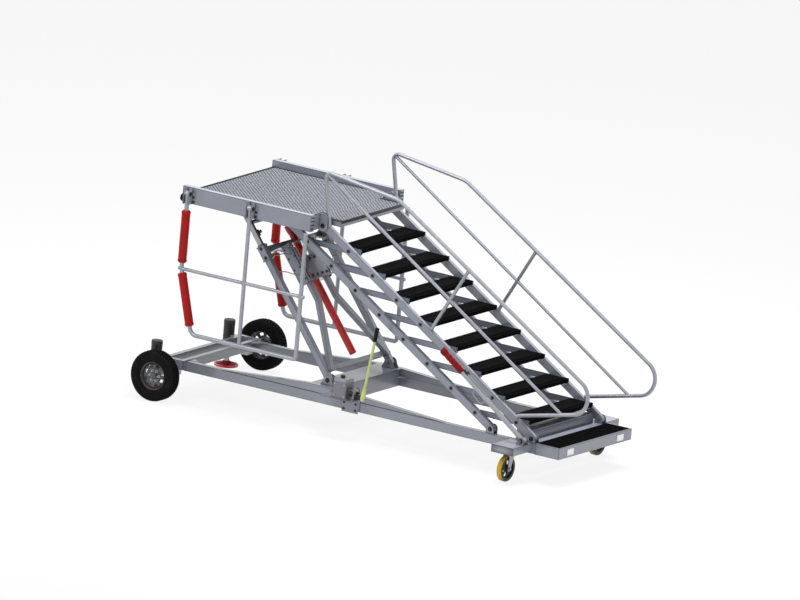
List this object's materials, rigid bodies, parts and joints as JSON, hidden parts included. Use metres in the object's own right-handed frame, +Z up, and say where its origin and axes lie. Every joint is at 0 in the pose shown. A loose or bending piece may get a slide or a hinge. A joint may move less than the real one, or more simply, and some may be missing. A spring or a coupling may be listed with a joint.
{
  "type": "mobile aircraft stairs",
  "caption": "Wheeled ladder frame carrying a self-levelling stair with hooped handrails and a raised work platform on a telescopic mast.",
  "frame": {"origin": "on the floor under the centre of the overall bounding box", "axes": "+X towards the foot of the stairs, +Y to the side away from the pump, +Z up"},
  "size_m": [4.9742, 1.998, 2.5058],
  "materials": {
    "grey_paint": "satin grey paint",
    "zinc": "zinc-plated steel",
    "tube": "satin aluminium tube",
    "deck_plate": "raised-pattern plate",
    "black_grit": "anti-slip covering",
    "reflector": "white reflector",
    "tyre": "black rubber",
    "rim": "grey steel rim",
    "castor_tread": "yellow polyurethane",
    "black_steel": "black paint",
    "red_paint": "red paint",
    "red_foam": "red foam cover",
    "lever_red": "red grip",
    "pump_grey": "grey paint",
    "handle_yellow": "pale yellow-green paint",
    "black_grip": "black grip",
    "chrome_rod": "polished rod",
    "buffer_rubber": "black rubber"
  },
  "bodies": {
    "chassis": {"chassis_rails": "grey_paint", "rear_cross_members": "grey_paint", "mid_cross_beam": "grey_paint", "mast_brackets": "grey_paint", "front_castor_beam": "grey_paint", "castor_plates": "zinc", "base_pivot_brackets": "grey_paint", "base_step": "grey_paint", "base_step_cover": "black_grit", "front_reflectors": "reflector", "wheel_spindles": "zinc", "jack_tubes": "black_steel", "pump_shelf": "grey_paint", "pump_unit": "pump_grey", "pump_handle": "handle_yellow", "pump_grip": "black_grip", "lever_ears": "grey_paint"},
    "wheel_near": {"tyre_near": "tyre", "rim_near": "rim"},
    "wheel_far": {"tyre_far": "tyre", "rim_far": "rim"},
    "castor_fork_near": {"castor_fork_near": "zinc"},
    "castor_fork_far": {"castor_fork_far": "zinc"},
    "castor_wheel_near": {"castor_wheel_near": "castor_tread"},
    "castor_wheel_far": {"castor_wheel_far": "castor_tread"},
    "jack_near": {"jack_leg_near": "red_paint"},
    "jack_far": {"jack_leg_far": "red_paint"},
    "upper_stringers": {"upper_stringers": "grey_paint", "handrails": "tube"},
    "lower_stringers": {"lower_stringers": "grey_paint"},
    "platform": {"platform_frame": "grey_paint", "platform_deck": "deck_plate", "platform_buffers": "buffer_rubber"},
    "guard_near": {"guard_near": "tube", "guard_pads_near": "red_foam"},
    "guard_far": {"guard_far": "tube", "guard_pads_far": "red_foam"},
    "mast_lower": {"mast_outer_legs": "grey_paint", "cylinder_barrel": "red_paint"},
    "mast_upper": {"mast_inner_legs": "zinc", "cylinder_rod": "chrome_rod"},
    "castor_lever": {"castor_lever": "tube", "lever_grip": "lever_red"},
    "step_1": {"step_1": "black_grit"},
    "step_2": {"step_2": "black_grit"},
    "step_3": {"step_3": "black_grit"},
    "step_4": {"step_4": "black_grit"},
    "step_5": {"step_5": "black_grit"},
    "step_6": {"step_6": "black_grit"},
    "step_7": {"step_7": "black_grit"},
    "step_8": {"step_8": "black_grit"}
  },
  "joints": [
    {"name": "wheel_near_spin", "type": "hinge", "parent": "chassis", "child": "wheel_near", "pos_m": [-2.17127, -0.93, 0.245], "axis": [0, 1, 0], "continuous": true},
    {"name": "castor_near_swivel", "type": "hinge", "parent": "chassis", "child": "castor_fork_near", "pos_m": [1.77373, -0.79, 0.29], "axis": [0, 0, 1], "continuous": true},
    {"name": "castor_near_spin", "type": "hinge", "parent": "castor_fork_near", "child": "castor_wheel_near", "pos_m": [1.77373, -0.83, 0.125], "axis": [1, 0, 0], "continuous": true},
    {"name": "jack_near_extend", "type": "slide", "parent": "chassis", "child": "jack_near", "axis": [0, 0, -1], "range_m": [-0.1, 0.045]},
    {"name": "wheel_far_spin", "type": "hinge", "parent": "chassis", "child": "wheel_far", "pos_m": [-2.17127, 0.93, 0.245], "axis": [0, 1, 0], "continuous": true},
    {"name": "castor_far_swivel", "type": "hinge", "parent": "chassis", "child": "castor_fork_far", "pos_m": [1.77373, 0.79, 0.29], "axis": [0, 0, 1], "continuous": true},
    {"name": "castor_far_spin", "type": "hinge", "parent": "castor_fork_far", "child": "castor_wheel_far", "pos_m": [1.77373, 0.75, 0.125], "axis": [1, 0, 0], "continuous": true},
    {"name": "jack_far_extend", "type": "slide", "parent": "chassis", "child": "jack_far", "axis": [0, 0, -1], "range_m": [-0.1, 0.045]},
    {"name": "stair_lift", "type": "hinge", "parent": "chassis", "child": "upper_stringers", "pos_m": [1.89373, 0, 0.404], "axis": [0, 1, 0], "range_deg": [0, 15]},
    {"name": "lower_stringer_lift", "type": "hinge", "parent": "chassis", "child": "lower_stringers", "pos_m": [1.42373, 0, 0.404], "axis": [0, 1, 0], "range_deg": [0, 15]},
    {"name": "platform_level", "type": "hinge", "parent": "upper_stringers", "child": "platform", "pos_m": [-0.63662, 0, 1.9724], "axis": [0, 1, 0], "range_deg": [-15, 0]},
    {"name": "step_1_level", "type": "hinge", "parent": "upper_stringers", "child": "step_1", "pos_m": [-0.33159, 0, 1.78333], "axis": [0, 1, 0], "range_deg": [-15, 0]},
    {"name": "step_2_level", "type": "hinge", "parent": "upper_stringers", "child": "step_2", "pos_m": [-0.04118, 0, 1.60333], "axis": [0, 1, 0], "range_deg": [-15, 0]},
    {"name": "step_3_level", "type": "hinge", "parent": "upper_stringers", "child": "step_3", "pos_m": [0.24921, 0, 1.42333], "axis": [0, 1, 0], "range_deg": [-15, 0]},
    {"name": "step_4_level", "type": "hinge", "parent": "upper_stringers", "child": "step_4", "pos_m": [0.53961, 0, 1.24333], "axis": [0, 1, 0], "range_deg": [-15, 0]},
    {"name": "step_5_level", "type": "hinge", "parent": "upper_stringers", "child": "step_5", "pos_m": [0.83001, 0, 1.06333], "axis": [0, 1, 0], "range_deg": [-15, 0]},
    {"name": "step_6_level", "type": "hinge", "parent": "upper_stringers", "child": "step_6", "pos_m": [1.12041, 0, 0.88333], "axis": [0, 1, 0], "range_deg": [-15, 0]},
    {"name": "step_7_level", "type": "hinge", "parent": "upper_stringers", "child": "step_7", "pos_m": [1.41081, 0, 0.70333], "axis": [0, 1, 0], "range_deg": [-15, 0]},
    {"name": "step_8_level", "type": "hinge", "parent": "upper_stringers", "child": "step_8", "pos_m": [1.70121, 0, 0.52333], "axis": [0, 1, 0], "range_deg": [-15, 0]},
    {"name": "mast_lean", "type": "hinge", "parent": "chassis", "child": "mast_lower", "pos_m": [-0.47127, 0, 0.485], "axis": [0, 1, 0], "range_deg": [0, 21.46]},
    {"name": "mast_extend", "type": "slide", "parent": "mast_lower", "child": "mast_upper", "axis": [-0.6172, 0, 0.7868], "range_m": [0, 0.3036]},
    {"name": "guard_near_fold", "type": "hinge", "parent": "platform", "child": "guard_near", "pos_m": [-1.32327, -0.835, 2.04], "axis": [-1, 0, 0], "range_deg": [0, 180]},
    {"name": "guard_far_fold", "type": "hinge", "parent": "platform", "child": "guard_far", "pos_m": [-1.33127, 0.835, 2.04], "axis": [1, 0, 0], "range_deg": [0, 180]},
    {"name": "lever_swing", "type": "hinge", "parent": "chassis", "child": "castor_lever", "pos_m": [1.88173, -0.74, 0.404], "axis": [0, 1, 0], "range_deg": [0, 45]}
  ],
  "couplings": [
    {"joint": "lower_stringer_lift", "follows": "stair_lift", "ratio": 1},
    {"joint": "platform_level", "follows": "stair_lift", "ratio": -1},
    {"joint": "step_1_level", "follows": "stair_lift", "ratio": -1},
    {"joint": "step_2_level", "follows": "stair_lift", "ratio": -1},
    {"joint": "step_3_level", "follows": "stair_lift", "ratio": -1},
    {"joint": "step_4_level", "follows": "stair_lift", "ratio": -1},
    {"joint": "step_5_level", "follows": "stair_lift", "ratio": -1},
    {"joint": "step_6_level", "follows": "stair_lift", "ratio": -1},
    {"joint": "step_7_level", "follows": "stair_lift", "ratio": -1},
    {"joint": "step_8_level", "follows": "stair_lift", "ratio": -1},
    {"joint": "mast_lean", "follows": "stair_lift", "ratio": 1.4276},
    {"joint": "mast_extend", "follows": "stair_lift", "m_per_rad": 1.1578}
  ]
}
